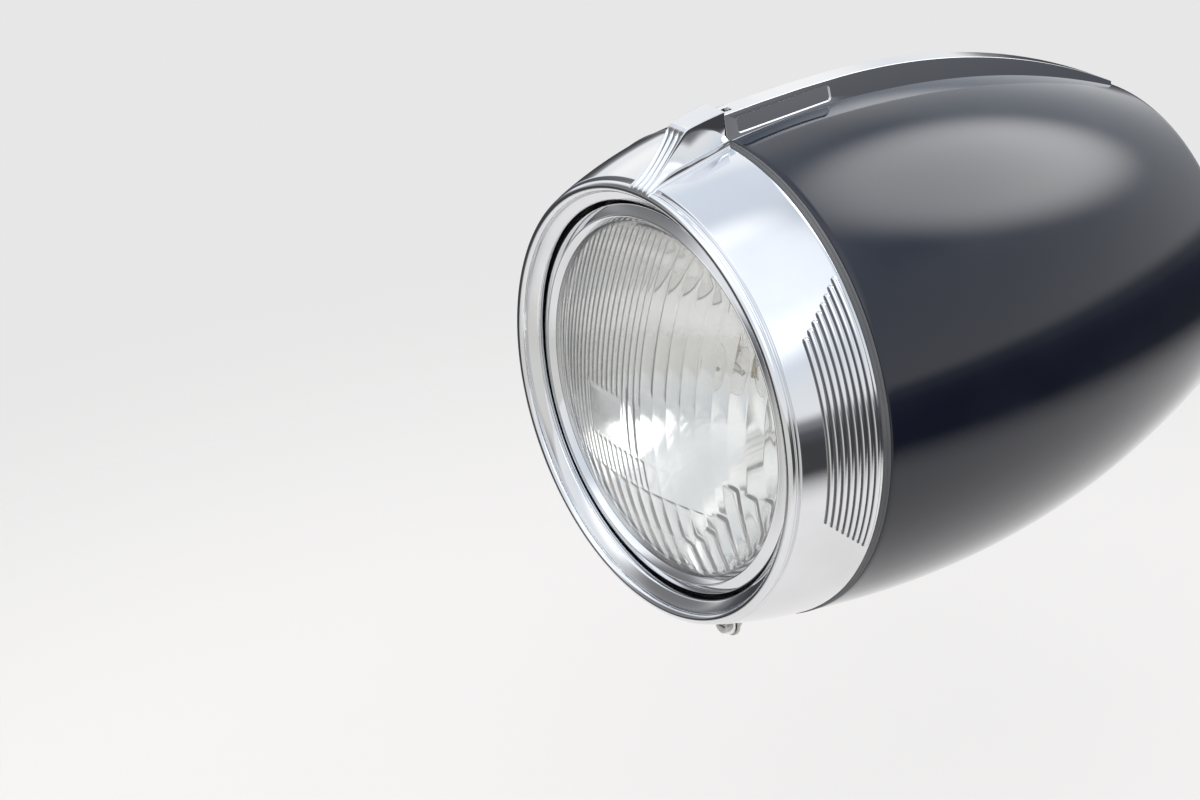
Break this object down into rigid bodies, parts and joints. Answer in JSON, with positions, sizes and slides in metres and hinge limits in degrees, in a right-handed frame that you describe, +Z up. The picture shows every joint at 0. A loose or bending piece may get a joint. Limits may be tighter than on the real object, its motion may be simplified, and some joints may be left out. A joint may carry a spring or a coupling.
{
  "type": "car headlamp with nacelle",
  "caption": "Round headlamp in a streamlined steel nacelle: fluted lens, aimable light unit and a deep bright rim with a crest that swings up",
  "frame": {"origin": "centre of the rear mounting face of the nacelle, on the axis of its bolt circle", "axes": "+Y rearward out of the mounting face, +Z up, +X towards the middle of the car; the lens faces -Y"},
  "size_m": [0.2416, 0.3014, 0.2682],
  "materials": {
    "black_paint": "gloss",
    "bright_metal": "polished",
    "zinc_steel": "satin",
    "bowl_paint": "satin",
    "grey_rubber": "matte",
    "black_rubber": "matte",
    "lamp_glass": "clear",
    "bulb_clear": "clear",
    "mirror_silver": "polished",
    "bulb_brass": "satin",
    "holder_plastic": "matte"
  },
  "bodies": {
    "nacelle": {"nacelle_shell": "black_paint", "nacelle_strip": "bright_metal", "hinge_pin": "zinc_steel", "rim_gasket": "grey_rubber", "lamp_bowl": "bowl_paint", "cable_grommet": "black_rubber", "pivot_pins": "zinc_steel", "bowl_screws": "zinc_steel", "rim_catch": "zinc_steel"},
    "gimbal": {"gimbal_ring": "zinc_steel"},
    "light_unit": {"seat_ring": "zinc_steel", "lens": "lamp_glass", "lens_gasket": "black_rubber", "retaining_ring": "bright_metal", "reflector": "mirror_silver", "bulb_holder": "holder_plastic", "bulb_cap": "bulb_brass", "bulb_glass": "bulb_clear"},
    "rim": {"rim": "bright_metal", "rim_crest": "bright_metal", "rim_hook": "zinc_steel", "rim_screw": "zinc_steel"}
  },
  "joints": [
    {"name": "rim_swing", "type": "hinge", "parent": "nacelle", "child": "rim", "pos_m": [0, -0.241, 0.1255], "axis": [-1, 0, 0], "range_deg": [0, 25]},
    {"name": "aim_sideways", "type": "hinge", "parent": "nacelle", "child": "gimbal", "pos_m": [0, -0.26, -0.0025], "axis": [0, 0, 1], "range_deg": [-2.5, 2.5]},
    {"name": "aim_up_down", "type": "hinge", "parent": "gimbal", "child": "light_unit", "pos_m": [0, -0.26, -0.0025], "axis": [1, 0, 0], "range_deg": [-2.5, 2.5]}
  ]
}
